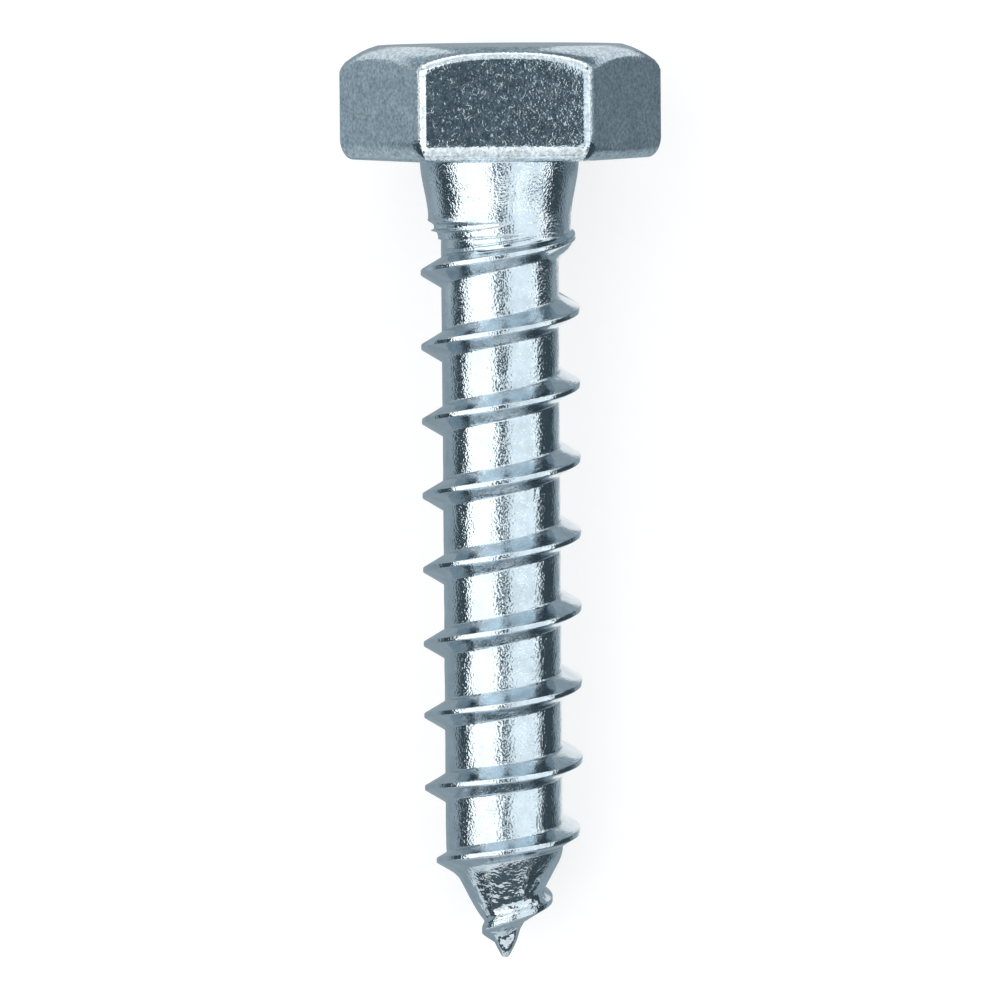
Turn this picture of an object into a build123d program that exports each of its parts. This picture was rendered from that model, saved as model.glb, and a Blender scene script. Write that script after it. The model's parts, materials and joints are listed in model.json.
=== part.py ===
"""Hex head lag screw, lying on a flat surface as it comes to rest.

One piece: a forged hexagon head, a short plain shank, a coarse rolled wood thread
that grows out of the shank, and a cone point that the thread follows to its tip.

The screw is made upright about Z, with the bearing face of the head at Z = 0, the
head above it and the point below it.  A depth is a distance below the bearing face.
A turn counts the thread round from the middle of the front flat.
"""
from build123d import *
import os
from math import asin, atan2, cos, degrees, hypot, pi, radians, sin, sqrt, tan

# Head
head_flats = 17.0          # across flats, the wrench size
head_height = 6.85
head_top_d = 14.8          # flat disc left on top by the corner chamfer
chamfer_angle = 30         # slope of the chamfer from the top face, degrees
chamfer_crown = 0.2       # how much the chamfer bulges from top disc to corner
upright_edge_r = 0.56
lower_rim_r = 0.8          # rounding between the flats and the bearing face

# Plain shank, which narrows to the rolling diameter and ends in a shoulder
shank_top_d = 9.6
shank_end_d = 8.6
shank_length = 3.75
shoulder_length = 0.95

# Thread
under_head = 48.5          # bearing face to the end of the point
thread_major_d = 9.6
thread_root_d = 7.1
pitch = 4.5
crest_land = 0.34
flank_angle = 30           # each flank from square to the axis, degrees
root_flare_h = 0.14        # height of the flare that stands for the root radius
foot_embed = 0.2           # how deep the foot of the ridge sits in the core

# Start of the thread, where it grows out of the shank
first_crest = 1.97         # from the end of the shank to the crest over the front flat
start_turn = -0.62
full_turn = 0.12
start_sink = 0.35          # how deep the crest lies in the shank where it begins

# Run-out, the spiral fill from the shank down to the thread root above the first turn
runout_start = -0.47
runout_fall = -0.12        # the fill begins to fall here
runout_end = 0.27
runout_sink = 0.06         # the fill lies this much below the shank
runout_deep = 0.22         # and ends this much below the thread root

# Cone point and the thread on it
point_half_angle = 28
cone_blend = 1.2           # length over which the root turns from cylinder to cone
nose_r = 0.3
taper_length = 10.2        # crest begins to fall this far above the end of the point
taper_past = 0.2           # and would reach the axis this far above it
taper_power = 2.3
slow_length = 11.3         # the lead shortens from this far above the end
tip_lead = 3.9            # lead where the thread ends
thread_gap = 0.75          # end of the thread to the end of the point
lean = 0.24                # how far the late turns lie low on the right, high on the left
lean_start = 5.0           # the lean grows and fades between these turns
lean_end = 9.3

# How finely the thread is drawn
sections_per_turn = 12

# Sizes that follow from the others
root_r = thread_root_d / 2
major_r = thread_major_d / 2
shank_end_r = shank_end_d / 2
cone_slope = tan(radians(point_half_angle))
flank_slope = tan(radians(flank_angle))
cone_apex = under_head + nose_r / sin(radians(point_half_angle)) - nose_r
cone_start = cone_apex - root_r / cone_slope
first_depth = shank_length + first_crest
slow_turn = (under_head - slow_length - first_depth) / pitch
slow_turns = 2 * (slow_length - thread_gap) / (pitch + tip_lead)
end_turn = slow_turn + slow_turns


def ease(value):
    """Smooth step from 0 to 1."""
    held = min(1.0, max(0.0, value))
    return held * held * (3 - 2 * held)


def core_radius(depth):
    """Radius of the thread root at a depth, cylinder first and then the cone."""
    return max(0.0, min(root_r, (cone_apex - depth) * cone_slope))


def crest_depth(turn):
    """Depth of the middle of the thread after so many turns."""
    late = max(0.0, turn - slow_turn)
    even = first_depth + pitch * turn - (pitch - tip_lead) * late ** 2 / (2 * slow_turns)
    within = min(1.0, max(0.0, (turn - lean_start) / (lean_end - lean_start)))
    return even - lean * sin(pi * within) ** 2 * sin(2 * pi * turn)


def crest_radius(turn):
    """Outer radius of the thread: it grows at the shank and falls on the point."""
    if turn < full_turn:
        start_r = shank_end_r - start_sink
        grown = (turn - start_turn) / (full_turn - start_turn)
        return start_r + (major_r - start_r) * sin(grown * pi / 2)
    fallen = crest_depth(turn) - (under_head - taper_length)
    share = max(0.0, fallen) / (taper_length - taper_past)
    return major_r * (1 - share ** taper_power)


def thread_side(turn, away):
    """Foot, flare and crest of one flank as (radius, depth); away is +1 or -1."""
    crest_r = crest_radius(turn)
    crest = crest_depth(turn) + away * crest_land / 2
    on_cone = (cone_apex - crest - away * crest_r * flank_slope) * cone_slope
    on_cone = on_cone / (1 - away * flank_slope * cone_slope)
    meet_r = min(root_r, on_cone, crest_r - 0.1)
    flare_r = meet_r + min(root_flare_h, 0.3 * (crest_r - meet_r))
    flare = crest + away * (crest_r - flare_r) * flank_slope
    lean = away * point_half_angle * ease((crest - cone_start) / cone_blend + 0.5)
    flare_slope = tan(radians((flank_angle + 90 - lean) / 2))
    embed = min(foot_embed, 0.35 * meet_r)
    foot = flare + away * (flare_r - meet_r + embed) * flare_slope
    foot_r = min(meet_r, core_radius(foot)) - embed
    return [(foot_r, foot), (flare_r, flare), (crest_r, crest)]


def thread_section(turn):
    """Corners of the thread's section at a turn, as (radius, depth)."""
    return thread_side(turn, 1) + thread_side(turn, -1)[::-1]


def runout_section(turn):
    """Corners of the run-out's section, from inside the shank to inside the thread."""
    fallen = ease((turn - runout_fall) / (runout_end - runout_fall))
    shank_r = shank_end_r - runout_sink
    deep_r = root_r - runout_deep
    outer = shank_r + (deep_r - shank_r) * fallen
    inner = deep_r - runout_deep
    top = shank_length - shoulder_length / 2
    low = crest_depth(turn)
    return [(inner, top), (outer, top), (outer, low), (inner, low)]


def sweep_sections(section, first, last):
    """Closed solid between the spiral edges that a section draws, in half turns."""
    spans = round(2 * (last - first))
    steps = round((last - first) * sections_per_turn / spans)
    count = spans * steps
    turns = [first + (last - first) * i / count for i in range(count + 1)]
    rings = []
    for turn in turns:
        x, y = -sin(2 * pi * turn), -cos(2 * pi * turn)
        rings.append([Vector(r * x, r * y, -depth) for r, depth in section(turn)])
    spirals = [Edge.make_spline(list(line), parameters=turns) for line in zip(*rings)]
    faces = [Face(Wire.make_polygon(ring, close=True)) for ring in (rings[0], rings[-1])]
    for start in range(0, count, steps):
        corners = zip(spirals, rings[start], rings[start + steps])
        edges = [spiral.trim(one, two) for spiral, one, two in corners]
        pairs = zip(edges, edges[1:] + edges[:1])
        faces += [Face.make_surface_from_curves(one, two) for one, two in pairs]
    return Solid(Shell(faces))


def make_body():
    """Shank, thread core and cone point turned about the axis."""
    slope = radians(point_half_angle)
    nose_z = nose_r - under_head
    middle = (pi / 2 + slope) / 2
    cone_end = (nose_r * cos(slope), nose_z - nose_r * sin(slope))
    nose_side = (nose_r * cos(middle), nose_z - nose_r * sin(middle))
    inside_head = (shank_top_d / 2, head_height / 2)
    shank_top = (shank_top_d / 2, 0)
    shank_end = (shank_end_r, -shank_length)
    shoulder_end = (root_r, -shank_length - shoulder_length)
    with BuildPart() as body:
        with BuildSketch(Plane.XZ):
            with BuildLine():
                Polyline((0, -under_head), (0, head_height / 2), inside_head, shank_top)
                Spline(shank_top, shank_end, tangents=((0, -1), (0, -1)))
                Polyline(shank_end, shoulder_end, (root_r, -cone_start), cone_end)
                ThreePointArc(cone_end, nose_side, (0, -under_head))
            make_face()
        revolve(axis=Axis.Z)
    return body.part


def make_head():
    """Hexagon with a flat to the front, rounded edges and a chamfered top."""
    top_r = head_top_d / 2
    reach = head_flats / sqrt(3)
    half = (reach - top_r) / 2
    slope = tan(radians(chamfer_angle))
    corner = (reach, head_height - 2 * half * slope)
    crown = (top_r + half, head_height - half * slope + chamfer_crown)
    with BuildPart() as head:
        with BuildSketch():
            RegularPolygon(head_flats / 2, 6, major_radius=False)
        extrude(amount=head_height)
        fillet(head.edges().filter_by(Axis.Z), upright_edge_r)
        fillet(head.faces().sort_by(Axis.Z)[0].outer_wire().edges(), lower_rim_r)
        with BuildSketch(Plane.XZ):
            with BuildLine():
                ThreePointArc((top_r, head_height), crown, corner)
                Polyline(corner, (reach, 0), (0, 0), (0, head_height), (top_r, head_height))
            make_face()
        revolve(axis=Axis.Z, mode=Mode.INTERSECT)
    return head.part


def lying_tilt():
    """Angle of the axis when the head's lower rim and the thread both touch down."""
    rim_height = head_flats / 2 - lower_rim_r
    tilts = []
    for step in range(round(slow_turn * 40), round(end_turn * 40)):
        turn = step / 40
        below = crest_radius(turn) * -cos(2 * pi * turn)
        along = crest_depth(turn) + crest_land / 2 + lower_rim_r
        fall = rim_height - below
        if below > 0:
            tilts.append(atan2(fall, along) + asin(lower_rim_r / hypot(along, fall)))
    return degrees(min(tilts))


def make_screw():
    """The whole screw, laid down with its front flat up and its head to +Y."""
    ridge = sweep_sections(thread_section, start_turn, end_turn)
    runout = sweep_sections(runout_section, runout_start, runout_end)
    upright = make_body() + make_head() + ridge + runout
    lying = upright.rotate(Axis.X, lying_tilt() - 90)
    box = lying.bounding_box()
    return Pos(-box.center().X, -box.center().Y, -box.min.Z) * lying


os.makedirs("parts", exist_ok=True)
screw = make_screw()
screw.label = "lag_screw"
export_step(screw, "parts/lag_screw.step")
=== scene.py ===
"""Looks for the lag screw: one finely modelled piece in bright zinc plated steel.

The screw is drawn upright in millimetres, x to the right, y to the back and z up, with the
bearing face of the head at z = 0 and the front flat towards -y. It is then laid down where the
frame's mounts say. A depth is a distance below the bearing face. A turn counts the thread from
the middle of the front flat round by the left, and its fraction says where a point lies around
the axis.
"""
from collections import namedtuple
import json
import math
import bpy
from mathutils import Matrix, Vector
import numpy as np


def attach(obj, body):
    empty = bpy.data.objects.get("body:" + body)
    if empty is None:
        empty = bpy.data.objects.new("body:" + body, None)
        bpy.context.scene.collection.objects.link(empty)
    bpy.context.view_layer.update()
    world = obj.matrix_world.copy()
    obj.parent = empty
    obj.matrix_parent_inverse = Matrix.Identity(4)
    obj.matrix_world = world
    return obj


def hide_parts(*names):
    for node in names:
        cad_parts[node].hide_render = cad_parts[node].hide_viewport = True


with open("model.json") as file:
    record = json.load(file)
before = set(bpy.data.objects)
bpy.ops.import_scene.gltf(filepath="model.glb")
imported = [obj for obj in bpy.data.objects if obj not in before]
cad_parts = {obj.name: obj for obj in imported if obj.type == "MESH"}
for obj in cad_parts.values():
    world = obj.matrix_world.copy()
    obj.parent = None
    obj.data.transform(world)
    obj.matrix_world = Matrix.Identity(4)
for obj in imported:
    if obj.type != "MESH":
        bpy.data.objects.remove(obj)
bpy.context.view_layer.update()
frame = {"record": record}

MM = 0.001
SIXTH = math.pi / 3        # from one flat of the hexagon to the next
SEED = 11

# ---------------------------------------------------------------- sizes, in mm
# Head
HEAD_FLATS = 17.0          # across flats
HEAD_HEIGHT = 6.85
HEAD_TOP_R = 7.4           # flat disc that the chamfer leaves on top
CHAMFER_SLOPE = math.tan(math.radians(30))
CHAMFER_CROWN = 0.2        # how much the chamfer bulges
CHAMFER_EDGE = 0.34        # soft edge between chamfer and flat
UPRIGHT_EDGE_R = 0.56
LEAST_CORNER_R = 0.02      # what the lower rim leaves of them
LEAST_FACING = 0.3         # a flat counts only where it faces at least this much
EDGE_BLUNT = 0.5           # how far the upright edges lean from round to a plain bevel
LOWER_RIM_R = 0.8
RIM_RISE = 1.18            # the lower rim's rounding starts this high
RIM_BLUNT = 0.15           # how far that rounding leans to a plain bevel
HEAD_OFF = 0.09            # the head is forged this far off the thread's axis
FRONT_APOTHEM = 8.25       # the front flat is forged a little low, so its corners stand wider
FRONT_SINK = 0.10          # and its chamfer comes down this much further in the middle

# Shank
SHANK_TOP_R = 4.8
SHANK_END_R = 4.3
SHANK_LENGTH = 3.75
SHOULDER_LENGTH = 0.45
SHOULDER_REACH = 2.0       # the shoulder has ended this far below the shank
SHANK_SOFT = 0.12          # how far shank and root melt together
NECK_R = 0.15              # small fillet under the head

# Thread
UNDER_HEAD = 48.5          # bearing face to the end of the point
MAJOR_R = 4.8
ROOT_R = 3.55
PITCH = 4.5
CREST_LAND = 0.28
CREST_SOFT = 0.06
FLANK_TAN = math.tan(math.radians(30))
FLANK_REACH = 2.6          # no flank reaches further than this from its crest
ROOT_SOFT = 0.10           # how far flank and root melt together
THIN_SOFT = 0.05           # the same where the crest is low, on the point
THIN_R = 0.6 * ROOT_R      # crest radius under which it is that little
THIN_GROWTH = 0.5

# Start of the thread, in the shank; turns before 0 lie to the right of the front
FIRST_DEPTH = 5.72
START_TURN = -0.62
FULL_TURN = 0.12
START_SINK = 0.35          # how deep the crest lies in the shank where it begins
SEAM_TURN = -0.54          # where the crest leaves the rings of the shank

# Lower side of the first crest, which falls gently on the right
FULL_FALL = 0.39
FULL_CURVE = 0.494
FULL_START, FULL_BEGIN = -0.50, 0.08
FULL_END, FULL_FADE = -0.2, 0.15
FULL_FROM, FULL_TO = 0.1, 1.6
FULL_SOFT = 0.1
FULL_HIDDEN = 1.0          # elsewhere it lies this far inside

# Run-out: the shank runs on above the first crest and falls to the root in terraces
RUNOUT_START = -0.47
RUNOUT_FALL = -0.05
RUNOUT_END = 0.22
RUNOUT_DEEP = 0.20
RUNOUT_ABOVE = 0.5         # it reaches this far up into the shank
RUNOUT_SOFT = 0.04
EDGE_DEPTH = 3.72          # end of the full shank
EDGE_SHARE = 0.4           # share of the fall at that end
EDGE_STEP = 0.08
LINE_SHARE = 0.2           # share of the fall at each rolling line
LINE_STEP = 0.07

# Rolling lines fanned out above the first crest: turn where each begins, its depth there, how
# far it falls and over how many turns, and the turn where it ends
Line = namedtuple("Line", "first depth fall reach last")
LINES = (
    Line(-0.025, 3.68, 0.68, 0.09, 0.42),
    Line(-0.053, 4.42, 0.50, 0.18, 0.16),
    Line(-0.087, 4.57, 1.60, 0.35, 0.24),
)
LINE_BEGIN = 0.04
LINE_FADE = 0.08
LIP_RISE = 0.05            # lip at the end of the full shank
LIP_START, LIP_BEGIN = -0.03, 0.05
LIP_END, LIP_FADE = 0.36, 0.1
LIP_ABOVE = 0.05
LIP_REACH = 0.06
RIDGE_LOW = 0.05           # the first line is a ridge that grows to the left
RIDGE_GROWTH = 0.2
RIDGE_START, RIDGE_TURNS = 0.06, 0.18
RIDGE_REACH = 0.1
GROOVE = 0.085             # the others are grooves with a low bank below
GROOVE_REACH = 0.055
BANK = 0.05
BANK_BELOW = 0.12
BANK_REACH = 0.06
MARKS_CLEAR = 0.5          # the marks end this far above the crest
MARKS_FADE = 0.15

# Cone point
CONE_ANGLE = math.radians(28)
CONE_TAN = math.tan(CONE_ANGLE)
CONE_SIN = math.sin(CONE_ANGLE)
CONE_SOFT = 0.25
NOSE_R = 0.3
WAIST = 0.20               # the last root is cut this much deeper
WAIST_DEPTH = 46.65
WAIST_REACH = 0.6
TIP_FLAT = 0.26            # the tip is flattened in front, this far in from the cone
TIP_FLAT_DEPTH = 46.9
TIP_FLAT_REACH = 0.9
TIP_FLAT_SOFT = 0.05
TIP_CLEAR = 0.1            # elsewhere that flat lies this far outside the surface

# Thread on the point
TAPER_LENGTH = 10.2        # the crest begins to fall this far above the end
TAPER_PAST = 0.2           # and would reach the axis this far above it
TAPER_POWER = 2.3
SLOW_LENGTH = 11.3         # the lead shortens from this far above the end
TIP_LEAD = 3.9
THREAD_GAP = 0.75          # end of the thread to the end of the point, without the last drop
LEAN = 0.24                # late turns lie low on the right and high on the left
LEAN_START = 5.0
LEAN_END = 9.3
LAST_DROP = 0.26           # the last turn lies this much lower
DROP_START, DROP_TURNS = 8.3, 0.5
MERGE_SOFT = 1.4           # the last turn's upper side melts into the cone
MERGE_START, MERGE_END = 8.72, 8.88
MERGE_FADE, MERGE_FADE_TURNS = 9.12, 0.22
MERGE_ABOVE = 0.25

CONE_APEX = UNDER_HEAD + NOSE_R / CONE_SIN - NOSE_R
SLOW_TURN = (UNDER_HEAD - SLOW_LENGTH - FIRST_DEPTH) / PITCH
SLOW_TURNS = 2 * (SLOW_LENGTH - THREAD_GAP) / (PITCH + TIP_LEAD)
END_TURN = SLOW_TURN + SLOW_TURNS
THREAD_TURNS = range(-1, 11)

# Unevenness of the rolled surface: size of its cells and height
SMALL_DENT, SMALL_DENT_HEIGHT = 0.35, 0.008
WIDE_DENT, WIDE_DENT_HEIGHT = 1.1, 0.012
NOISE_CELLS = 64

# ---------------------------------------------------------------- fineness of the mesh
FLAT_STEPS = 24
CORNER_STEPS = 8
TOP_SHARES = (0.02, 0.25, 0.5, 0.72, 0.88, 0.97, 1.0)
TOP_EDGE = 0.05            # first ring of the chamfer, outside the top disc
CHAMFER_SHARES = (0.25, 0.5, 0.75, 1.0)
# rings of the soft edge, as shares of it: in from the flat, down from the chamfer's end
EDGE_RINGS = ((0.3, 0.1), (0.0, 0.9))
FLAT_SHARES = np.linspace(0.12, 1, 10)
RIM_STEPS = 9
SEAT_SHARES = (0.3, 0.65, 0.95)
NECK_STEPS = 4
SHANK_RINGS = 11
RING_DEPTH = 3.3           # rings above, lanes that follow the thread below
CREST_LANES = (0.0, 0.08)
CREST_EDGE_LANES = (-0.035, 0.0, 0.04)
FLANK_SHARES = (0.3, 0.6)
FOOT_LANES = (-0.13, -0.055, -0.01, 0.04, 0.12)
ROOT_SHARES = (0.11, 0.23, 0.36, 0.5, 0.64, 0.77, 0.89)
LINE_LANES = (-0.12, -0.06, -0.015, 0.025, 0.065, 0.12)
UNFOLD_BEGIN = 0.05        # the lanes of the rolling lines unfold and fold again
UNFOLD_END, UNFOLD_FADE = 0.34, 0.1
LEAST_FLANK = 0.35
LEAST_ROOT = 0.1
LAST_LANE = 0.02           # the last lane lies this far above the end of the point
DENT_FADE = 0.5
DENT_FREE = 0.3            # no dents this close to the end
WELD = 2e-4

rng = np.random.default_rng(SEED)
NOISE_TABLE = rng.random((NOISE_CELLS, NOISE_CELLS, NOISE_CELLS))


# ---------------------------------------------------------------- shaping functions
def ease(value):
    """Smooth step from 0 to 1."""
    held = np.clip(value, 0, 1)
    return held * held * (3 - 2 * held)


def hump(value, middle, reach):
    """Rounded hump of height 1."""
    return np.exp(-((value - middle) / reach) ** 2)


def soft_max(one, two, reach):
    """The larger of two, melted together where they differ by less than the reach."""
    return np.maximum(one, two) + np.maximum(reach - np.abs(one - two), 0) ** 2 / (4 * reach)


def soft_min(one, two, reach):
    """The smaller of two, melted together in the same way."""
    return -soft_max(-one, -two, reach)


def turned(angle):
    """The same angle between -180 and 180 degrees."""
    return (angle + math.pi) % (2 * math.pi) - math.pi


def value_noise(points, size):
    """Smooth noise from -1 to 1 with cells of the given size."""
    cells = np.floor(points / size).astype(int)
    within = points / size - cells
    within = within * within * (3 - 2 * within)
    total = 0
    for corner in np.ndindex(2, 2, 2):
        weight = 1
        for axis, far in enumerate(corner):
            weight = weight * (within[:, axis] if far else 1 - within[:, axis])
        x, y, z = ((cells + np.array(corner)) % NOISE_CELLS).T
        total = total + weight * NOISE_TABLE[x, y, z]
    return total * 2 - 1


# ---------------------------------------------------------------- form of shank, thread and point
def crest_depth(turn):
    """Depth of the middle of the thread."""
    late = np.maximum(0, turn - SLOW_TURN)
    even = FIRST_DEPTH + PITCH * turn - (PITCH - TIP_LEAD) * late ** 2 / (2 * SLOW_TURNS)
    within = np.clip((turn - LEAN_START) / (LEAN_END - LEAN_START), 0, 1)
    lean = LEAN * np.sin(math.pi * within) ** 2 * np.sin(2 * math.pi * turn)
    return even - lean + LAST_DROP * ease((turn - DROP_START) / DROP_TURNS)


def crest_radius(turn):
    """Outer radius of the thread: it grows out of the shank and falls on the point."""
    start_r = SHANK_END_R - START_SINK
    grown = np.clip((turn - START_TURN) / (FULL_TURN - START_TURN), 0, 1)
    young = start_r + (MAJOR_R - start_r) * np.sin(grown * math.pi / 2)
    fallen = crest_depth(turn) - (UNDER_HEAD - TAPER_LENGTH)
    share = np.maximum(0, fallen) / (TAPER_LENGTH - TAPER_PAST)
    old = MAJOR_R * (1 - share ** TAPER_POWER)
    return np.where(turn < FULL_TURN, young, old)


def is_thread(turn):
    """Whether the thread has begun and not ended."""
    return (turn > START_TURN) & (turn < END_TURN)


def start_turn_of(around):
    """The turn of the thread's start that lies at this fraction."""
    return (around - SEAM_TURN) % 1 + SEAM_TURN


def body_radius(depth):
    """Shank, shoulder, thread root and cone point."""
    shank = SHANK_TOP_R + (SHANK_END_R - SHANK_TOP_R) * ease(depth / SHANK_LENGTH)
    shoulder = SHANK_END_R - (SHANK_END_R - ROOT_R) * (depth - SHANK_LENGTH) / SHOULDER_LENGTH
    upper = np.where(depth < SHANK_LENGTH, shank, shoulder)
    cone = (CONE_APEX - depth) * CONE_TAN - WAIST * hump(depth, WAIST_DEPTH, WAIST_REACH)
    core = soft_min(np.full_like(depth, ROOT_R), cone, CONE_SOFT)
    nose_depth = UNDER_HEAD - NOSE_R
    nose = np.sqrt(np.maximum(0, NOSE_R ** 2 - np.maximum(0, depth - nose_depth) ** 2))
    core = np.where(depth > nose_depth + NOSE_R * CONE_SIN, nose, core)
    return np.where(depth < SHANK_LENGTH + SHOULDER_REACH, soft_max(upper, core, SHANK_SOFT), core)


def line_depth(line, turn):
    """A rolling line leaves the front of the shank and bends down towards the crest."""
    return line.depth + line.fall * (1 - np.exp(-np.maximum(0, turn - line.first) / line.reach))


def line_share(line, turn):
    """How strongly a rolling line shows, from 0 to 1."""
    begun = ease((turn - line.first) / LINE_BEGIN)
    return begun * (1 - ease((turn - line.last + LINE_FADE) / LINE_FADE))


def runout_radius(turn, depth):
    """The terraces above the first crest."""
    fallen = ease((turn - RUNOUT_FALL) / (RUNOUT_END - RUNOUT_FALL))
    drop = (SHANK_END_R - ROOT_R + RUNOUT_DEEP) * fallen
    gone = EDGE_SHARE * ease((depth - EDGE_DEPTH) / EDGE_STEP)
    for line in LINES:
        gone = gone + LINE_SHARE * ease((depth - line_depth(line, turn)) / LINE_STEP)
    return SHANK_END_R - drop * gone


def start_marks(turn, depth):
    """Height of the lip at the shank's end, and of the ridge and grooves of the fanned lines."""
    lip = ease((turn - LIP_START) / LIP_BEGIN) * (1 - ease((turn - LIP_END) / LIP_FADE))
    marks = LIP_RISE * lip * hump(depth, EDGE_DEPTH - LIP_ABOVE, LIP_REACH)
    ridge, *grooves = LINES
    tall = RIDGE_LOW + RIDGE_GROWTH * ease((turn - RIDGE_START) / RIDGE_TURNS)
    below = depth - line_depth(ridge, turn)
    marks = marks + line_share(ridge, turn) * tall * hump(below, 0, RIDGE_REACH)
    for groove in grooves:
        below = depth - line_depth(groove, turn)
        cut = GROOVE * hump(below, 0, GROOVE_REACH) - BANK * hump(below, BANK_BELOW, BANK_REACH)
        marks = marks - line_share(groove, turn) * cut
    return marks


def with_tip_flat(radius, around, depth):
    """The body with the front of its tip flattened."""
    inward = (TIP_FLAT + TIP_CLEAR) * hump(depth, TIP_FLAT_DEPTH, TIP_FLAT_REACH)
    facing = np.maximum(np.cos(2 * math.pi * around), LEAST_FACING)
    return soft_min(radius, (radius + TIP_CLEAR - inward) / facing, TIP_FLAT_SOFT)


def with_start(radius, around, depth):
    """The body with the run-out and the rolling marks above the first crest."""
    turn = start_turn_of(around)
    above = depth < crest_depth(turn)
    runout = (depth > SHANK_LENGTH - RUNOUT_ABOVE) & above & (turn > RUNOUT_START)
    filled = soft_max(radius, runout_radius(turn, depth), RUNOUT_SOFT)
    radius = np.where(runout, filled, radius)
    share = np.clip((crest_depth(turn) - MARKS_CLEAR - depth) / MARKS_FADE, 0, 1)
    return np.where(above, radius + start_marks(turn, depth) * share, radius)


def with_full_flank(radius, turn, depth):
    """The body with the gentle lower side of the first crest."""
    below = depth - crest_depth(turn)
    past = np.maximum(0, below - CREST_LAND / 2)
    full = crest_radius(turn) - FULL_FALL * past - FULL_CURVE * past * past
    there = ease((turn - FULL_START) / FULL_BEGIN) * (1 - ease((turn - FULL_END) / FULL_FADE))
    full = full - FULL_HIDDEN * (1 - there)
    inside = is_thread(turn) & (below > FULL_FROM) & (below < FULL_TO)
    return np.where(inside, soft_max(radius, full, FULL_SOFT), radius)


def with_ridge(radius, turn, depth):
    """The body with one turn of the thread."""
    below = depth - crest_depth(turn)
    top = crest_radius(turn)
    ridge = soft_min(top, top - (np.abs(below) - CREST_LAND / 2) / FLANK_TAN, CREST_SOFT)
    soft = np.minimum(ROOT_SOFT, THIN_SOFT + THIN_GROWTH * np.maximum(0, top - THIN_R))
    melt = ease((turn - MERGE_START) / (MERGE_END - MERGE_START)) * ease(-below / MERGE_ABOVE)
    melt = melt * (1 - ease((turn - MERGE_FADE) / MERGE_FADE_TURNS))
    soft = soft + (MERGE_SOFT - soft) * melt
    near = is_thread(turn) & (np.abs(below) < FLANK_REACH)
    return np.where(near, soft_max(radius, ridge, soft), radius)


def surface_radius(around, depth):
    """Radius of the whole surface at a fraction of a turn and a depth."""
    radius = with_tip_flat(body_radius(depth), around, depth)
    radius = with_start(radius, around, depth)
    radius = with_full_flank(radius, around - 1, depth)
    for whole in THREAD_TURNS:
        radius = with_ridge(radius, around + whole, depth)
    return radius


# ---------------------------------------------------------------- form of the head
def apothem(side):
    """Distance of a flat from the head's axis; side 0 is the front flat."""
    return FRONT_APOTHEM if side % 6 == 0 else HEAD_FLATS / 2


def corner_radius(angle, side, inset, corner_r):
    """Radius along the blunt corner after a side, and nan where that corner doesn't reach."""
    one, two = apothem(side) - inset - corner_r, apothem(side + 1) - inset - corner_r
    start, end = side * SIXTH, (side + 1) * SIXTH
    middle = (start + end) / 2
    centre_x = (one * math.sin(end) - two * math.sin(start)) / math.sin(SIXTH)
    centre_y = (two * math.cos(start) - one * math.cos(end)) / math.sin(SIXTH)
    toward, reach = math.atan2(centre_y, centre_x), math.hypot(centre_x, centre_y)
    off = turned(angle - toward)
    across = reach * np.sin(np.abs(off))
    arc = reach * np.cos(off) + np.sqrt(np.maximum(0, corner_r ** 2 - across ** 2))
    chord_away = reach * math.cos(toward - middle) + corner_r * math.cos(SIXTH / 2)
    chord = chord_away / np.cos(angle - middle)
    bend = np.arctan2(arc * np.sin(angle) - centre_y, arc * np.cos(angle) - centre_x)
    near = (np.abs(turned(angle - middle)) < SIXTH / 2) & (across < corner_r)
    within = np.abs(turned(bend - middle)) < SIXTH / 2
    return np.where(near & within, arc + (chord - arc) * EDGE_BLUNT, np.nan)


def hex_radius(angle, inset, corner_r):
    """Radius of the rounded hexagon, offset inwards; the front flat's middle is at angle 0."""
    radius = np.full(angle.shape, np.inf)
    for side in range(6):
        facing = np.cos(angle - side * SIXTH)
        flat = (apothem(side) - inset) / np.maximum(facing, LEAST_FACING)
        radius = np.where(facing > LEAST_FACING, np.minimum(radius, flat), radius)
    for side in range(6):
        corner = corner_radius(angle, side, inset, corner_r)
        radius = np.where(np.isnan(corner), radius, corner)
    return radius


def chamfer_height(radius):
    """Height of the crowned chamfer, an arc from the top disc to the hexagon's corners."""
    along = (radius - HEAD_TOP_R) / (HEAD_FLATS / math.sqrt(3) - HEAD_TOP_R)
    straight = HEAD_HEIGHT - (radius - HEAD_TOP_R) * CHAMFER_SLOPE
    return straight + CHAMFER_CROWN * 4 * along * (1 - along)


# ---------------------------------------------------------------- mesh
def column_angles():
    """Angles of the mesh's upright columns, from the left edge of the front flat round."""
    half = HEAD_FLATS / 2
    touch = math.atan2((half - UPRIGHT_EDGE_R) * math.tan(SIXTH / 2), half)
    angles = []
    for side in range(6):
        middle = side * SIXTH
        angles += list(middle + np.linspace(-touch, touch, FLAT_STEPS + 1))
        angles += list(middle + np.linspace(touch, SIXTH - touch, CORNER_STEPS + 1)[1:-1])
    return np.array(angles)


ANGLES = column_angles()
COLUMNS = ANGLES / (2 * math.pi)
COUNT = len(COLUMNS)


def ring(radius, depth):
    """Points of one ring round the axis, one to a column."""
    radius = np.broadcast_to(radius, ANGLES.shape)
    depth = np.broadcast_to(depth, ANGLES.shape)
    return np.stack([-radius * np.sin(ANGLES), -radius * np.cos(ANGLES), -depth], 1)


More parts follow.
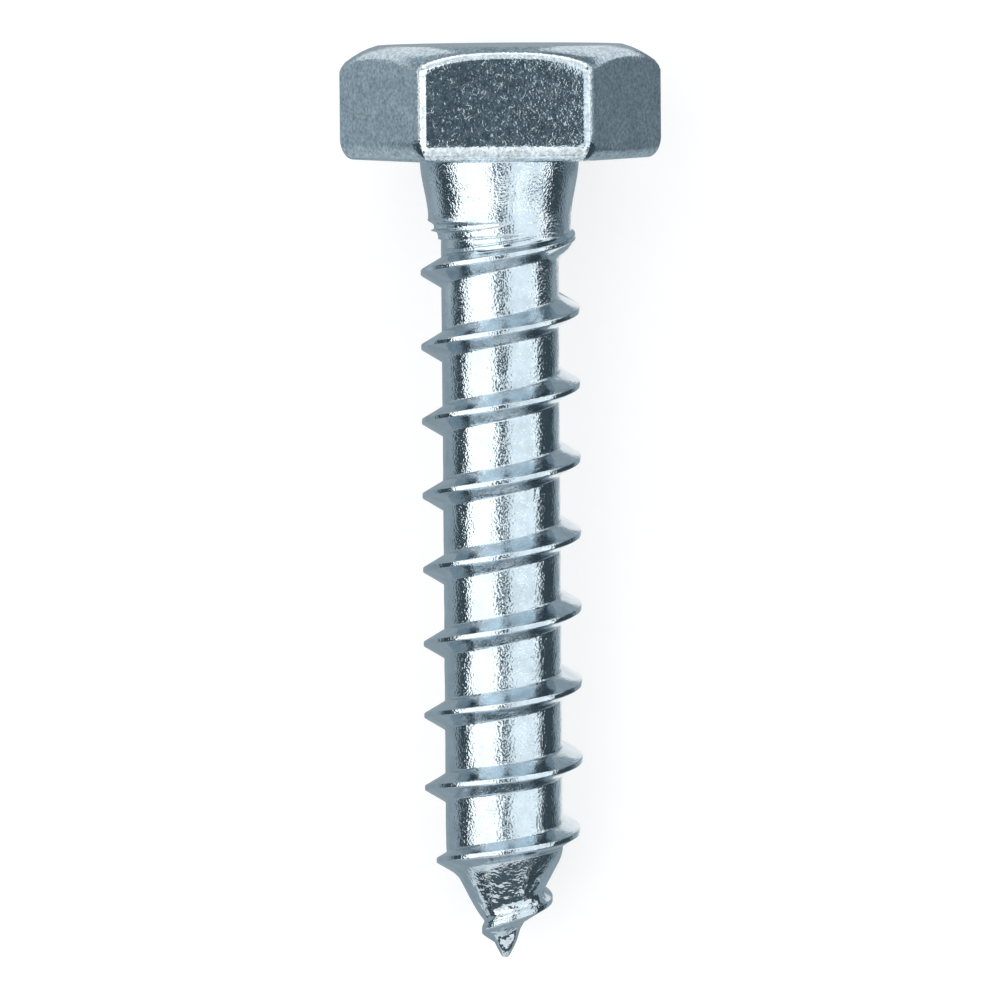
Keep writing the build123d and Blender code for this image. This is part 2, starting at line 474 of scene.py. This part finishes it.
def upper_head_rings():
    """Top disc, chamfer and flats, down to where the lower rim begins."""
    outer = hex_radius(ANGLES, 0.0, UPRIGHT_EDGE_R)
    inner = HEAD_TOP_R + TOP_EDGE
    rings = [ring(HEAD_TOP_R * share, -HEAD_HEIGHT) for share in TOP_SHARES]
    rings.append(ring(inner, -chamfer_height(inner)))
    off = turned(ANGLES)
    sink = FRONT_SINK * np.where(np.abs(off) < SIXTH / 2, np.cos(3 * off) ** 2, 0)
    for share in CHAMFER_SHARES:
        radius = inner + (outer - CHAMFER_EDGE - inner) * share
        rings.append(ring(radius, sink * share - chamfer_height(radius)))
    chamfer_end = chamfer_height(outer) - sink
    for inward, down in EDGE_RINGS:
        rings.append(ring(outer - inward * CHAMFER_EDGE, down * CHAMFER_EDGE - chamfer_end))
    flat_top = chamfer_end - EDGE_RINGS[-1][1] * CHAMFER_EDGE
    for share in FLAT_SHARES:
        rings.append(ring(outer, -(flat_top + (RIM_RISE - flat_top) * share)))
    return rings


def rim_rings():
    """Lower rim of the head, between round and a plain bevel."""
    rings = []
    for step in range(1, RIM_STEPS + 1):
        share = step / RIM_STEPS
        round_in, round_up = 1 - math.cos(share * math.pi / 2), 1 - math.sin(share * math.pi / 2)
        inset = LOWER_RIM_R * (round_in + (share - round_in) * RIM_BLUNT)
        up = RIM_RISE * (round_up + (1 - share - round_up) * RIM_BLUNT)
        radius = hex_radius(ANGLES, inset, max(LEAST_CORNER_R, UPRIGHT_EDGE_R - inset))
        rings.append(ring(radius, -up))
    return rings


def neck_rings():
    """Bearing face, the fillet under it and the upper shank."""
    outer = hex_radius(ANGLES, LOWER_RIM_R, LEAST_CORNER_R)
    rings = [ring(outer + (SHANK_TOP_R + NECK_R - outer) * share, 0.0) for share in SEAT_SHARES]
    for phi in np.linspace(0, math.pi / 2, NECK_STEPS + 1):
        radius = SHANK_TOP_R + NECK_R * (1 - math.sin(phi))
        rings.append(ring(radius, NECK_R * (1 - math.cos(phi))))
    for depth in np.linspace(NECK_R, RING_DEPTH, SHANK_RINGS + 1)[1:]:
        rings.append(ring(surface_radius(COLUMNS, np.full(COUNT, depth)), depth))
    return rings


def all_rings():
    """Rings of the head, which lies off the axis, and of the upper shank."""
    head = upper_head_rings() + rim_rings()
    for points in head:
        points[:, 0] += HEAD_OFF
    return head + neck_rings()


def flank_width(turn):
    """How far a flank runs from the crest's edge to the root."""
    crest = crest_radius(np.clip(turn, START_TURN, END_TURN))
    cone = np.maximum(LEAST_ROOT, (CONE_APEX - crest_depth(turn)) * CONE_TAN)
    return np.maximum(LEAST_FLANK, (crest - np.minimum(ROOT_R, cone)) * FLANK_TAN)


def side_lanes(width):
    """Distances from a crest of the lanes on one of its sides, out to the foot."""
    edge = CREST_LAND / 2
    lanes = list(CREST_LANES) + [edge + away for away in CREST_EDGE_LANES]
    lanes += [edge + width * share for share in FLANK_SHARES]
    return lanes + [edge + width + away for away in FOOT_LANES]


def line_lanes(turn, resting):
    """Lanes along the shank's end and the rolling lines; elsewhere they rest on the crest."""
    at_start = (turn > SEAM_TURN) & (turn < SEAM_TURN + 1)
    unfold = at_start * ease((turn - SEAM_TURN) / UNFOLD_BEGIN)
    unfold = unfold * (1 - ease((turn - UNFOLD_END) / UNFOLD_FADE))
    lanes = []
    for depth in [np.full_like(turn, EDGE_DEPTH)] + [line_depth(line, turn) for line in LINES]:
        for away in LINE_LANES:
            unfolded = RING_DEPTH + (depth + away - RING_DEPTH) * unfold
            lanes.append(np.where(at_start, unfolded, resting))
    return lanes


def lane_depths(turn):
    """Depths of all lanes from one crest to just before the next, one row to a turn."""
    here, below = crest_depth(turn), crest_depth(turn + 1)
    upper = [here + away for away in side_lanes(flank_width(turn))]
    lower = [below - away for away in side_lanes(flank_width(turn + 1))[1:]]
    root = [upper[-1] + (lower[-1] - upper[-1]) * share for share in ROOT_SHARES]
    lanes = np.stack(upper + root + lower + line_lanes(turn + 1, here), 1)
    return np.clip(np.sort(lanes, axis=1), here[:, None], below[:, None])


def lane_points():
    """Points of the lanes that follow the thread, shape (steps round, lanes, 3)."""
    first = math.floor((RING_DEPTH - FIRST_DEPTH) / PITCH) - 1
    last = math.ceil(END_TURN) + 1
    turn = np.concatenate([COLUMNS + first + whole for whole in range(last - first)])
    lanes = lane_depths(turn)
    depth = np.clip(lanes, RING_DEPTH, UNDER_HEAD - LAST_LANE).ravel()
    around = np.broadcast_to(turn[:, None] - np.floor(turn[:, None]), lanes.shape).ravel()
    angle = around * 2 * math.pi
    radius = surface_radius(around, depth)
    outward = np.stack([-np.sin(angle), -np.cos(angle), np.zeros_like(angle)], 1)
    points = np.stack([-radius * np.sin(angle), -radius * np.cos(angle), -depth], 1)
    dents = value_noise(points, SMALL_DENT) * SMALL_DENT_HEIGHT
    dents = dents + value_noise(points, WIDE_DENT) * WIDE_DENT_HEIGHT
    fade = np.clip((depth - RING_DEPTH) / DENT_FADE, 0, 1)
    fade = fade * np.clip((UNDER_HEAD - DENT_FREE - depth) / DENT_FADE, 0, 1)
    points = points + outward * (dents * fade)[:, None]
    return points.reshape(*lanes.shape, 3)


def ring_faces(rings):
    """Four-sided faces between neighbouring rings."""
    here = np.arange(COUNT)
    after = (here + 1) % COUNT
    starts = COUNT * np.arange(rings - 1)[:, None]
    corners = [starts + here, starts + after, starts + COUNT + after, starts + COUNT + here]
    return np.stack(corners, -1).reshape(-1, 4)


def lane_faces(steps, lanes, first):
    """Four-sided faces between the lanes; each turn's last lane meets the next turn's first."""
    grid = first + np.arange(steps * lanes).reshape(steps, lanes)
    grid = np.concatenate([grid, np.roll(grid[:, :1], -COUNT, axis=0)], 1)
    row = np.arange(steps - COUNT - 1)
    corners = [grid[row, :-1], grid[row + 1, :-1], grid[row + 1, 1:], grid[row, 1:]]
    return np.stack(corners, -1).reshape(-1, 4)


def welded(points, faces, cap):
    """One mesh: equal points joined, faces without area dropped and the top capped.

    The last lane leaves a hole of 0.2 mm open at the very tip.
    """
    key = np.round(points / WELD).astype(np.int64)
    _, kept, joined = np.unique(key, axis=0, return_index=True, return_inverse=True)
    joined = joined.reshape(-1)
    whole = []
    for face in joined[faces]:
        corners = [face[i] for i in range(4) if face[i] != face[i - 1]]
        if len(set(corners)) >= 3:
            whole.append(corners)
    whole.append([int(joined[i]) for i in cap])
    return points[kept], whole


def build_mesh():
    """Points and faces of the whole screw."""
    rings = all_rings()
    lanes = lane_points()
    faces = [ring_faces(len(rings)), lane_faces(*lanes.shape[:2], COUNT * len(rings))]
    points = np.concatenate(rings + [lanes.reshape(-1, 3)])
    return welded(points, np.concatenate(faces), range(COUNT - 1, -1, -1))


# ---------------------------------------------------------------- how the surface varies
HEAD_GRAIN = 0.35          # strength of the fine grain
FLANK_GRAIN = 0.15
CREST_GRAIN = 0.8          # of what shows on the root
POINT_SMOOTH = 0.8         # how much less grain shows on the point
HEAD_SWELL = 0.35          # strength of the slow swell
FLANK_SWELL = 0.3
HEAD_LEVEL = 0.02          # depths above this belong to the head
START_LEVEL = 3.0
START_CLEAR = 0.6
POINT_ABOVE, POINT_FADE = 6.2, 1.5
# What stands less than this above the core counts as core, and on the point this much more
CORE_HIGH, CORE_HIGH_AT_POINT, CORE_FADE = 0.14, 0.35, 0.1
# What lies less than this under a crest and beside it counts as crest
CREST_HIGH, CREST_FADE, CREST_WIDTH = 0.12, 0.08, 0.4


def nearest_crest(around, depth):
    """Distance along the axis to the nearest crest, and that crest's radius."""
    nearest = np.full(len(depth), np.inf)
    radius = np.full(len(depth), np.inf)
    for whole in THREAD_TURNS:
        turn = around + whole
        away = np.abs(depth - crest_depth(turn))
        nearer = (away < nearest) & is_thread(turn)
        nearest = np.where(nearer, away, nearest)
        radius = np.where(nearer, crest_radius(turn), radius)
    return nearest, radius


def add_shares(mesh, points):
    """How strongly each place shows fine grain, slow swell, hairlines with their painted highlight, and
    the point's dents.
    """
    depth = -points[:, 2]
    radius = np.hypot(points[:, 0], points[:, 1])
    around = (-np.arctan2(points[:, 0], -points[:, 1]) / (2 * math.pi)) % 1
    crest_away, crest = nearest_crest(around, depth)
    on_head = depth < HEAD_LEVEL
    at_point = ease((depth - (UNDER_HEAD - POINT_ABOVE)) / POINT_FADE)
    at_start = (depth > START_LEVEL) & (depth < crest_depth(start_turn_of(around)) - START_CLEAR)
    high = radius - body_radius(np.maximum(depth, 0))
    low = ease((CORE_HIGH + CORE_HIGH_AT_POINT * at_point - high) / CORE_FADE)
    on_core = np.maximum(at_start, low)
    on_crest = ease((radius - crest + CREST_HIGH) / CREST_FADE) * (crest_away < CREST_WIDTH)
    rough = np.maximum(on_core, CREST_GRAIN * on_crest)
    on_point = at_point * on_core
    grain = np.where(on_head, HEAD_GRAIN, FLANK_GRAIN + (1 - FLANK_GRAIN) * rough)
    shares = {
        "grain": grain * (1 - POINT_SMOOTH * on_point),
        "swell": np.where(on_head, HEAD_SWELL, FLANK_SWELL + (1 - FLANK_SWELL) * on_core),
        # the head carries the specks, the hairlines and the hairlines' painted highlight
        "hairlines_and_highlight": np.where(on_head, 1.0, 0.0),
        "blotch": on_point,
    }
    for name, values in shares.items():
        layer = mesh.attributes.new(name, "FLOAT", "POINT")
        layer.data.foreach_set("value", values.astype(np.float32))


# ---------------------------------------------------------------- shader nodes
def feed(tree, socket, source):
    """Set an input to a value, or link it to another node's output."""
    if isinstance(source, bpy.types.NodeSocket):
        tree.links.new(source, socket)
    else:
        socket.default_value = source


def math_node(tree, operation, one, two):
    """A sum, product or the like of two values."""
    node = tree.nodes.new("ShaderNodeMath")
    node.operation = operation
    feed(tree, node.inputs[0], one)
    feed(tree, node.inputs[1], two)
    return node.outputs[0]


def spread(tree, source, start, end, low, high, interpolation="LINEAR"):
    """The source's values from start to end, spread from low to high."""
    node = tree.nodes.new("ShaderNodeMapRange")
    node.interpolation_type = interpolation
    feed(tree, node.inputs["Value"], source)
    feed(tree, node.inputs["From Min"], start)
    feed(tree, node.inputs["From Max"], end)
    feed(tree, node.inputs["To Min"], low)
    feed(tree, node.inputs["To Max"], high)
    return node.outputs["Result"]


def blended(tree, share, one, two):
    """A colour between two."""
    node = tree.nodes.new("ShaderNodeMix")
    node.data_type = "RGBA"
    feed(tree, node.inputs["A"], (*one, 1))
    feed(tree, node.inputs["B"], (*two, 1))
    feed(tree, node.inputs["Factor"], share)
    return node.outputs["Result"]


def noise_node(tree, place, per_mm, detail, rough):
    """A noise texture with cells per millimetre."""
    node = tree.nodes.new("ShaderNodeTexNoise")
    feed(tree, node.inputs["Vector"], place)
    feed(tree, node.inputs["Scale"], per_mm)
    feed(tree, node.inputs["Detail"], detail)
    feed(tree, node.inputs["Roughness"], rough)
    return node


def noise(tree, place, per_mm, detail, rough):
    """Grey noise."""
    return noise_node(tree, place, per_mm, detail, rough).outputs["Fac"]


def share_of(tree, name):
    """A share that the mesh carries."""
    node = tree.nodes.new("ShaderNodeAttribute")
    node.attribute_name = name
    return node.outputs["Fac"]


def bump(tree, height, depth, before=None):
    """A bump of the given depth in mm, on top of the one before."""
    node = tree.nodes.new("ShaderNodeBump")
    feed(tree, node.inputs["Strength"], 1.0)
    feed(tree, node.inputs["Distance"], depth * MM)
    feed(tree, node.inputs["Height"], height)
    if before is not None:
        feed(tree, node.inputs["Normal"], before)
    return node.outputs["Normal"]


def seen_directly(tree):
    """1 for what the camera, a mirror or glass sees, 0 for light on the object."""
    path = tree.nodes.new("ShaderNodeLightPath")
    camera_or_mirror = math_node(
        tree, "MAXIMUM", path.outputs["Is Camera Ray"], path.outputs["Is Glossy Ray"])
    return math_node(tree, "MAXIMUM", camera_or_mirror, path.outputs["Is Transmission Ray"])


# ---------------------------------------------------------------- zinc
BASE = (0.63, 0.71, 0.76)
BASE_DARK, BASE_PALE = 0.9, 1.08           # how far the base colour varies
TINT_PER_MM = 0.8
GLOSS_PER_MM = 2.2
ROUGH_LOW, ROUGH_HIGH = 0.06, 0.14
NOISE_LOW, NOISE_HIGH = 0.35, 0.65         # the part of the noise that tint and gloss use
NOISE_MIDDLE = 0.5

# Bumps: how fine, and how deep in mm
SWELL_PER_MM, SWELL_DEPTH = 1.3, 0.03
BLOTCH_PER_MM, BLOTCH_DEPTH = 1.7, 0.095
GRAIN_PER_MM, GRAIN_DEPTH = 7.0, 0.03
SCRATCH_DEPTH = 0.0024

# Hairlines and specks on the head; the hairlines also carry a painted highlight
BEND_PER_MM, BEND = 2.0, 0.9
HAIR_CELLS_PER_MM = 2.6
HAIR_WIDTH = 0.05
BREAK_PER_MM = 2.8
BREAK_LOW, BREAK_HIGH = 0.50, 0.68
# painted highlight: the hairlines' colour is made this much brighter than the zinc
HAIR_PAINTED_HIGHLIGHT = 0.55
SPECK_PER_MM, SPECK = 4.5, 0.4
SPECK_LOW, SPECK_HIGH = 0.3, 0.7


def place_in_mm(tree):
    """The place on the object in mm."""
    place = tree.nodes.new("ShaderNodeTexCoord")
    scale = tree.nodes.new("ShaderNodeMapping")
    feed(tree, scale.inputs["Scale"], (1 / MM, 1 / MM, 1 / MM))
    feed(tree, scale.inputs["Vector"], place.outputs["Object"])
    return scale.outputs["Vector"]


def hairlines(tree, place):
    """Short curved hairlines: the thin edges of a bent cell pattern, broken up. They are bumped, and also
    painted brighter as a painted highlight.
    """
    bend = tree.nodes.new("ShaderNodeVectorMath")
    bend.operation = "MULTIPLY_ADD"
    feed(tree, bend.inputs[0], noise_node(tree, place, BEND_PER_MM, detail=2, rough=0.5).outputs["Color"])
    feed(tree, bend.inputs[1], (BEND, BEND, BEND))
    feed(tree, bend.inputs[2], place)
    cells = tree.nodes.new("ShaderNodeTexVoronoi")
    cells.feature = "DISTANCE_TO_EDGE"
    feed(tree, cells.inputs["Scale"], HAIR_CELLS_PER_MM)
    feed(tree, cells.inputs["Vector"], bend.outputs["Vector"])
    edges = spread(tree, cells.outputs["Distance"], 0.0, HAIR_WIDTH, 1, 0)
    breaks = noise(tree, place, BREAK_PER_MM, detail=2, rough=0.5)
    kept = spread(tree, breaks, BREAK_LOW, BREAK_HIGH, 0, 1)
    return math_node(tree, "MULTIPLY", edges, kept)


def zinc_colour(tree, place, hairlines_and_highlight):
    """The tint, with the tone of the specks on the head and the painted highlight of its hairlines."""
    tint = noise(tree, place, TINT_PER_MM, detail=4, rough=0.6)
    tint = spread(tree, tint, NOISE_LOW, NOISE_HIGH, 0, 1)
    dark, pale = ([part * tone for part in BASE] for tone in (BASE_DARK, BASE_PALE))
    speck = noise(tree, place, SPECK_PER_MM, detail=3, rough=0.7)
    speck = spread(tree, speck, SPECK_LOW, SPECK_HIGH, -SPECK, SPECK)
    speck = math_node(tree, "MULTIPLY", speck, share_of(tree, "hairlines_and_highlight"))
    # painted highlight: the hairlines are painted brighter than the zinc around them
    tone = math_node(tree, "ADD", speck, math_node(tree, "MULTIPLY", hairlines_and_highlight, HAIR_PAINTED_HIGHLIGHT))
    toned = tree.nodes.new("ShaderNodeVectorMath")
    toned.operation = "SCALE"
    feed(tree, toned.inputs[0], blended(tree, tint, dark, pale))
    feed(tree, toned.inputs["Scale"], math_node(tree, "ADD", tone, 1.0))
    return toned.outputs["Vector"]


def zinc_bumps(tree, place, hairlines_and_highlight):
    """Swell, dents of the point, grain and hairlines, one on top of the other."""
    normal = None
    for name, per_mm, detail, depth in (
        ("swell", SWELL_PER_MM, 2, SWELL_DEPTH),
        ("blotch", BLOTCH_PER_MM, 2, BLOTCH_DEPTH),
        ("grain", GRAIN_PER_MM, 1, GRAIN_DEPTH),
    ):
        height = noise(tree, place, per_mm, detail, rough=0.5)
        height = math_node(tree, "SUBTRACT", height, NOISE_MIDDLE)
        height = math_node(tree, "MULTIPLY", height, share_of(tree, name))
        normal = bump(tree, height, depth, normal)
    return bump(tree, hairlines_and_highlight, SCRATCH_DEPTH, normal)


def zinc():
    """Bright zinc plate."""
    material = bpy.data.materials.new("zinc")
    material.use_nodes = True
    tree = material.node_tree
    shader = tree.nodes["Principled BSDF"]
    place = place_in_mm(tree)
    # hairlines on the head: bumped as scratches, and painted brighter as a painted highlight
    hairlines_and_highlight = math_node(tree, "MULTIPLY", hairlines(tree, place), share_of(tree, "hairlines_and_highlight"))
    gloss = noise(tree, place, GLOSS_PER_MM, detail=4, rough=0.65)
    feed(tree, shader.inputs["Metallic"], 1.0)
    feed(tree, shader.inputs["Roughness"],
         spread(tree, gloss, NOISE_LOW, NOISE_HIGH, ROUGH_LOW, ROUGH_HIGH))
    feed(tree, shader.inputs["Base Color"], zinc_colour(tree, place, hairlines_and_highlight))
    feed(tree, shader.inputs["Normal"], zinc_bumps(tree, place, hairlines_and_highlight))
    return material


# ---------------------------------------------------------------- screw
mounts = {mount["name"]: mount for mount in frame["record"]["mounts"]}
bearing = mounts["bearing_face"]
UP = -Vector(bearing["axis"]).normalized()
FRONT = Vector(mounts["wrench_flat_up"]["axis"]).normalized()
RIGHT = Vector((1, 0, 0))
ORIGIN = Vector(bearing["pos_m"]) - RIGHT * bearing["pos_m"][0]
BASIS = np.array([list(RIGHT), list(-FRONT), list(UP)])


def linked(name, data):
    """A new object in the scene."""
    made = bpy.data.objects.new(name, data)
    bpy.context.scene.collection.objects.link(made)
    return made


def make_screw():
    """The whole screw, laid down where the frame has it."""
    points, faces = build_mesh()
    placed = points @ BASIS * MM + np.array(ORIGIN)[None, :]
    mesh = bpy.data.meshes.new("screw_body")
    mesh.from_pydata(placed.tolist(), [], faces)
    mesh.update()
    mesh.validate()
    mesh.polygons.foreach_set("use_smooth", np.ones(len(mesh.polygons), bool))
    add_shares(mesh, points)
    mesh.materials.append(zinc())
    return linked("screw_body", mesh)


screw = make_screw()
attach(screw, "root")
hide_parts("lag_screw")

# ---------------------------------------------------------------- camera
SCALE = 16.53              # thousandths of the picture's width that a millimetre fills
VIEW_DISTANCE = 510.0
VIEW_SIDE = math.radians(-2.0)
VIEW_RISE = math.radians(4.1)
VIEW_ROLL = math.radians(0.45)
VIEW_DEPTH = 20.66         # the middle of the picture shows this depth
VIEW_SHIFT = 0.115         # and lies this far to the left of the axis
SENSOR = 36
CLIP_START, CLIP_END = 0.01, 10            # in metres


def upright(x, y, z):
    """A direction given in the axes of the upright screw."""
    return RIGHT * x - FRONT * y + UP * z


def make_camera():
    """A camera before the screw's front, a little to the left and towards the head."""
    flat = math.cos(VIEW_RISE)
    toward = upright(math.sin(VIEW_SIDE) * flat, -math.cos(VIEW_SIDE) * flat, math.sin(VIEW_RISE))
    level_right = upright(math.cos(VIEW_SIDE), math.sin(VIEW_SIDE), 0)
    level_up = toward.cross(level_right)
    right = level_right * math.cos(VIEW_ROLL) - level_up * math.sin(VIEW_ROLL)
    up = level_up * math.cos(VIEW_ROLL) + level_right * math.sin(VIEW_ROLL)
    target = ORIGIN - UP * VIEW_DEPTH * MM - level_right * VIEW_SHIFT * MM
    lens = bpy.data.cameras.new("camera")
    lens.sensor_width = SENSOR
    lens.lens = SENSOR * SCALE * VIEW_DISTANCE / 1000
    lens.clip_start = CLIP_START
    lens.clip_end = CLIP_END
    camera = linked("camera", lens)
    turn = Matrix((right, up, toward)).transposed().to_4x4()
    camera.matrix_world = Matrix.Translation(target + toward * VIEW_DISTANCE * MM) @ turn
    bpy.context.scene.camera = camera


# ---------------------------------------------------------------- studio, in mm and degrees
DARK = (0.055, 0.078, 0.092)
OPENING = (0.085, 0.118, 0.14)
HALF_DARK = (0.18, 0.225, 0.255)
GREY = (0.33, 0.395, 0.435)
PALE_GREY = (0.44, 0.51, 0.55)
PALE = (0.8, 0.85, 0.88)
COOL = (0.94, 0.98, 1.0)
WHITE = (1.0, 1.0, 1.0)

# Lamps: how far each leans across the screw and towards the tip, half its size, and how bright
Panel = namedtuple("Panel", "name across toward_tip half_width half_length radiance colour")
PANEL_DISTANCE = 300
PANELS = (
    Panel("panel_left", -41.5, 0, 191, 200, 1.5, WHITE),
    Panel("panel_right", 40.8, 0, 197, 140, 1.05, COOL),
    Panel("panel_tip", 0, 36, 260, 58, 1.15, WHITE),
    Panel("panel_head", 0, -55, 260, 190, 0.9, WHITE),
)

# Cards that only the metal mirrors; the tip lies towards -y and the head towards y
CARD_AWAY = 60.0
CARD_HIGH = 26.0
CARD_LONG = 120.0
WALL_SIDE = 16.7           # the walls end at this y, just short of the head
HEAD_SIDE = 18.5           # the head mirrors what lies beyond this y
FAR = 400.0
CEILING = 1100.0
CEILING_TIP = 1700.0
CEILING_HIGH = 420
GROUND_TIP, GROUND_END = -34, -600

FlatCard = namedtuple("FlatCard", "name left right tip_end head_end high colour")
FLAT_CARDS = (
    FlatCard("strip_left", -CARD_AWAY, -32, -CARD_LONG, HEAD_SIDE, 0.3, DARK),
    FlatCard("strip_right", 14.5, CARD_AWAY, -CARD_LONG, 10.5, 0.3, DARK),
    FlatCard("strip_neck", 22, CARD_AWAY, 10.5, 14, 0.3, DARK),
    FlatCard("strip_shank", 18, CARD_AWAY, 14, 19, 0.3, HALF_DARK),
    FlatCard("strip_head", 11, CARD_AWAY, 19, CARD_LONG, 0.3, HALF_DARK),
    FlatCard("pale_left", -40, -5, 32, 50, 0.4, PALE),
    FlatCard("pale_right", 5, 40, 32, 50, 0.4, PALE),
    FlatCard("pale_under", -3.6, 7.3, -21, 11, 0.25, WHITE),
    FlatCard("pale_flank", 5.2, 7.6, 11, 17.5, 0.26, WHITE),
    FlatCard("pale_neck", -26, -12, 8, 17, 0.27, PALE_GREY),
    FlatCard("ground", -FAR, FAR, GROUND_TIP, FAR, 0.15, GREY),
    FlatCard("ground_tip", -FAR, FAR, GROUND_END, GROUND_TIP, 0.15, PALE),
    FlatCard("ceiling", -CEILING, CEILING, -CEILING_TIP, CEILING, CEILING_HIGH, OPENING),
)
TIP_CARD_PLACE = -50
TIP_CARD_LOW, TIP_CARD_HIGH = 36, 80

FLOOR_HALF = 3000
FLOOR_COLOUR = 0.42
FLOOR_GLOW = 0.66
GLOW_NEAR = 180.0          # beyond the lamps' pool the floor glows white by itself
GLOW_FAR = 600.0
WORLD_TINT = (0.85, 0.95, 1.0)
WORLD_DIM = 0.12


def emitter(name, colour):
    """A material that glows by itself."""
    material = bpy.data.materials.new(name)
    material.use_nodes = True
    tree = material.node_tree
    tree.nodes.clear()
    glow = tree.nodes.new("ShaderNodeEmission")
    feed(tree, glow.inputs["Color"], (*colour, 1))
    feed(tree, glow.inputs["Strength"], 1.0)
    end = tree.nodes.new("ShaderNodeOutputMaterial")
    feed(tree, end.inputs["Surface"], glow.outputs[0])
    return material


def quad(name, corners, material):
    """A flat stage piece with its corners in mm."""
    mesh = bpy.data.meshes.new(name)
    mesh.from_pydata([tuple(value * MM for value in corner) for corner in corners], [], [(0, 1, 2, 3)])
    mesh.materials.append(material)
    piece = linked(name, mesh)
    return piece


def card(name, corners, colour):
    """A bright, grey or dark studio card that only the metal mirrors."""
    piece = quad(name, corners, emitter(name, colour))
    piece.visible_camera = False
    piece.visible_diffuse = False
    piece.visible_shadow = False
    piece.visible_transmission = False


def flat_card(name, left, right, tip_end, head_end, high, colour):
    """A card that lies level."""
    corners = [(left, tip_end), (right, tip_end), (right, head_end), (left, head_end)]
    card(name, [(x, y, high) for x, y in corners], colour)


def wall_card(name, x):
    """A dark wall along the screw."""
    corners = [(-CARD_LONG, 0), (WALL_SIDE, 0), (WALL_SIDE, CARD_HIGH), (-CARD_LONG, CARD_HIGH)]
    card(name, [(x, y, z) for y, z in corners], DARK)


def tip_card():
    """A bright card that stands beyond the tip."""
    corners = [(-CARD_AWAY, TIP_CARD_LOW), (CARD_AWAY, TIP_CARD_LOW),
               (CARD_AWAY, TIP_CARD_HIGH), (-CARD_AWAY, TIP_CARD_HIGH)]
    card("pale_tip", [(x, TIP_CARD_PLACE, z) for x, z in corners], WHITE)


def make_panel(panel):
    """An area lamp that faces the screw."""
    light = bpy.data.lights.new(panel.name, "AREA")
    light.shape = "RECTANGLE"
    light.size = 2 * panel.half_width * MM
    light.size_y = 2 * panel.half_length * MM
    light.color = panel.colour
    light.energy = panel.radiance * math.pi * light.size * light.size_y
    across, tipward = math.radians(panel.across), math.radians(panel.toward_tip)
    level = math.cos(tipward)
    away = Vector((math.sin(across) * level, -math.sin(tipward), math.cos(across) * level))
    side = Vector((0, 1, 0)).cross(away).normalized()
    turn = Matrix((side, away.cross(side), away)).transposed().to_4x4()
    lamp = linked(panel.name, light)
    lamp.matrix_world = Matrix.Translation(away * PANEL_DISTANCE * MM) @ turn


def floor_material():
    """A matte floor that also glows where it is seen, the more the further away."""
    material = bpy.data.materials.new("floor")
    material.use_nodes = True
    tree = material.node_tree
    tree.nodes.clear()
    matte = tree.nodes.new("ShaderNodeBsdfDiffuse")
    feed(tree, matte.inputs["Color"], (FLOOR_COLOUR, FLOOR_COLOUR, FLOOR_COLOUR, 1))
    place = tree.nodes.new("ShaderNodeTexCoord")
    away = tree.nodes.new("ShaderNodeVectorMath")
    away.operation = "LENGTH"
    feed(tree, away.inputs[0], place.outputs["Object"])
    rise = spread(tree, away.outputs["Value"], GLOW_NEAR * MM, GLOW_FAR * MM, FLOOR_GLOW, 1.0,
                  "SMOOTHSTEP")
    glow = tree.nodes.new("ShaderNodeEmission")
    feed(tree, glow.inputs["Strength"], math_node(tree, "MULTIPLY", seen_directly(tree), rise))
    both = tree.nodes.new("ShaderNodeAddShader")
    feed(tree, both.inputs[0], matte.outputs[0])
    feed(tree, both.inputs[1], glow.outputs[0])
    end = tree.nodes.new("ShaderNodeOutputMaterial")
    feed(tree, end.inputs["Surface"], both.outputs[0])
    return material


def make_floor():
    """The floor under the screw."""
    far = FLOOR_HALF
    quad("floor", [(-far, -far, 0), (far, -far, 0), (far, far, 0), (-far, far, 0)], floor_material())


def make_world():
    """White where it is seen, and dim where it lights the screw."""
    world = bpy.data.worlds.new("world")
    world.use_nodes = True
    tree = world.node_tree
    dim = [part * WORLD_DIM for part in WORLD_TINT]
    back = tree.nodes["Background"]
    feed(tree, back.inputs["Color"], blended(tree, seen_directly(tree), dim, WHITE))
    feed(tree, back.inputs["Strength"], 1.0)
    bpy.context.scene.world = world


make_camera()
for panel in PANELS:
    make_panel(panel)
wall_card("wall_left", -CARD_AWAY)
wall_card("wall_right", CARD_AWAY)
for settings in FLAT_CARDS:
    flat_card(*settings)
tip_card()
make_floor()
make_world()
bpy.context.scene.view_settings.view_transform = "Standard"
